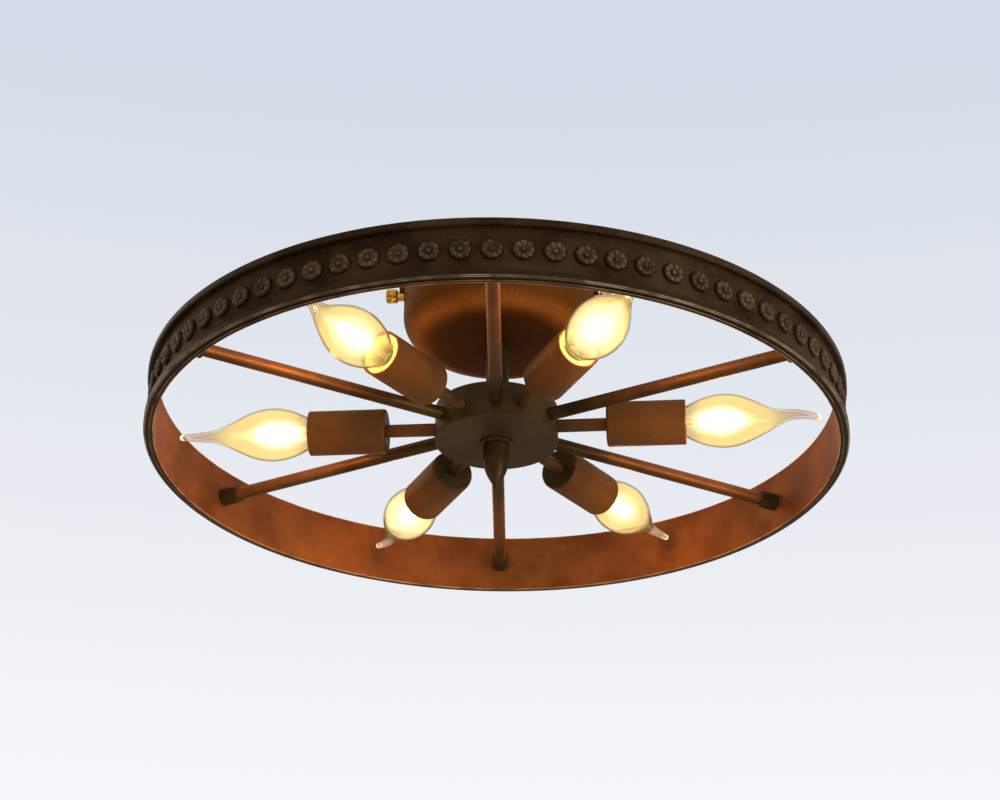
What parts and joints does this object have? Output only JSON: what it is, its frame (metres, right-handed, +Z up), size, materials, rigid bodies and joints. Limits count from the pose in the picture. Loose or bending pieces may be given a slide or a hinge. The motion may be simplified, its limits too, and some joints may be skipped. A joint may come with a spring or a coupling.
{
  "type": "wagon wheel chandelier",
  "caption": "Ceiling light shaped as a wagon wheel: a banded rim set with rosettes, rod spokes, a drum hub and bent-tip candle lamps, hung close below a round canopy.",
  "frame": {"origin": "on the ceiling plane, at the centre of the ceiling bracket and on the wheel's axis", "axes": "+Z up along the wheel's axis; the side screws of the canopy lie along X, and two of the spokes lie along Y"},
  "size_m": [0.4799, 0.48, 0.16],
  "materials": {
    "rusty_bronze": "rust-brown brushed bronze paint on steel",
    "dark_bronze": "dark antique bronze paint on steel, with worn lighter edges",
    "zinc_plate": "zinc-plated steel",
    "brass": "bright brass",
    "terminal_plastic": "cream moulded plastic",
    "holder_ceramic": "glazed off-white lampholder body",
    "bulb_cap_metal": "nickel-brass lamp cap",
    "bulb_glass": "clear glass with an amber glow",
    "filament": "lit filament sticks on a glass stem"
  },
  "bodies": {
    "fixture": {"ceiling_bracket": "zinc_plate", "canopy": "rusty_bronze", "canopy_screws": "brass", "terminal_block": "terminal_plastic", "centre_tube": "zinc_plate", "tube_nuts": "zinc_plate", "neck_sleeve": "rusty_bronze", "hub_drum": "dark_bronze", "hub_cover": "dark_bronze", "hub_nuts": "zinc_plate", "finial": "dark_bronze", "rim_band": "rusty_bronze", "upper_hoop": "dark_bronze", "lower_hoop": "dark_bronze", "rosettes": "dark_bronze", "rim_collars": "dark_bronze", "rim_screws": "zinc_plate", "spoke_1": "rusty_bronze", "spoke_2": "rusty_bronze", "spoke_3": "rusty_bronze", "spoke_4": "rusty_bronze", "spoke_5": "rusty_bronze", "spoke_6": "rusty_bronze", "lamp_arms": "rusty_bronze", "cup_1": "rusty_bronze", "cup_2": "rusty_bronze", "cup_3": "rusty_bronze", "cup_4": "rusty_bronze", "cup_5": "rusty_bronze", "cup_6": "rusty_bronze", "lampholder_1": "holder_ceramic", "lampholder_2": "holder_ceramic", "lampholder_3": "holder_ceramic", "lampholder_4": "holder_ceramic", "lampholder_5": "holder_ceramic", "lampholder_6": "holder_ceramic"},
    "contact_1": {"contact_pin_1": "brass"},
    "bulb_1": {"bulb_cap_1": "bulb_cap_metal", "bulb_glass_1": "bulb_glass", "filament_1": "filament"},
    "contact_2": {"contact_pin_2": "brass"},
    "bulb_2": {"bulb_cap_2": "bulb_cap_metal", "bulb_glass_2": "bulb_glass", "filament_2": "filament"},
    "contact_3": {"contact_pin_3": "brass"},
    "bulb_3": {"bulb_cap_3": "bulb_cap_metal", "bulb_glass_3": "bulb_glass", "filament_3": "filament"},
    "contact_4": {"contact_pin_4": "brass"},
    "bulb_4": {"bulb_cap_4": "bulb_cap_metal", "bulb_glass_4": "bulb_glass", "filament_4": "filament"},
    "contact_5": {"contact_pin_5": "brass"},
    "bulb_5": {"bulb_cap_5": "bulb_cap_metal", "bulb_glass_5": "bulb_glass", "filament_5": "filament"},
    "contact_6": {"contact_pin_6": "brass"},
    "bulb_6": {"bulb_cap_6": "bulb_cap_metal", "bulb_glass_6": "bulb_glass", "filament_6": "filament"}
  },
  "joints": [
    {"name": "contact_1_slide", "type": "slide", "parent": "fixture", "child": "contact_1", "axis": [0.9962, -0.0872, 0], "range_m": [0, 0.00846]},
    {"name": "bulb_1_turn", "type": "hinge", "parent": "contact_1", "child": "bulb_1", "pos_m": [0.09962, -0.00872, -0.114], "axis": [0.9962, -0.0872, 0], "range_deg": [0, 1080]},
    {"name": "contact_2_slide", "type": "slide", "parent": "fixture", "child": "contact_2", "axis": [0.5736, 0.8192, 0], "range_m": [0, 0.00846]},
    {"name": "bulb_2_turn", "type": "hinge", "parent": "contact_2", "child": "bulb_2", "pos_m": [0.05736, 0.08192, -0.114], "axis": [0.5736, 0.8192, 0], "range_deg": [0, 1080]},
    {"name": "contact_3_slide", "type": "slide", "parent": "fixture", "child": "contact_3", "axis": [-0.4226, 0.9063, 0], "range_m": [0, 0.00846]},
    {"name": "bulb_3_turn", "type": "hinge", "parent": "contact_3", "child": "bulb_3", "pos_m": [-0.04226, 0.09063, -0.114], "axis": [-0.4226, 0.9063, 0], "range_deg": [0, 1080]},
    {"name": "contact_4_slide", "type": "slide", "parent": "fixture", "child": "contact_4", "axis": [-0.9962, 0.0872, 0], "range_m": [0, 0.00846]},
    {"name": "bulb_4_turn", "type": "hinge", "parent": "contact_4", "child": "bulb_4", "pos_m": [-0.09962, 0.00872, -0.114], "axis": [-0.9962, 0.0872, 0], "range_deg": [0, 1080]},
    {"name": "contact_5_slide", "type": "slide", "parent": "fixture", "child": "contact_5", "axis": [-0.5736, -0.8192, 0], "range_m": [0, 0.00846]},
    {"name": "bulb_5_turn", "type": "hinge", "parent": "contact_5", "child": "bulb_5", "pos_m": [-0.05736, -0.08192, -0.114], "axis": [-0.5736, -0.8192, 0], "range_deg": [0, 1080]},
    {"name": "contact_6_slide", "type": "slide", "parent": "fixture", "child": "contact_6", "axis": [0.4226, -0.9063, 0], "range_m": [0, 0.00846]},
    {"name": "bulb_6_turn", "type": "hinge", "parent": "contact_6", "child": "bulb_6", "pos_m": [0.04226, -0.09063, -0.114], "axis": [0.4226, -0.9063, 0], "range_deg": [0, 1080]}
  ],
  "couplings": [
    {"joint": "bulb_1_turn", "follows": "contact_1_slide", "rad_per_m": 2226.5},
    {"joint": "bulb_2_turn", "follows": "contact_2_slide", "rad_per_m": 2226.5},
    {"joint": "bulb_3_turn", "follows": "contact_3_slide", "rad_per_m": 2226.5},
    {"joint": "bulb_4_turn", "follows": "contact_4_slide", "rad_per_m": 2226.5},
    {"joint": "bulb_5_turn", "follows": "contact_5_slide", "rad_per_m": 2226.5},
    {"joint": "bulb_6_turn", "follows": "contact_6_slide", "rad_per_m": 2226.5}
  ]
}
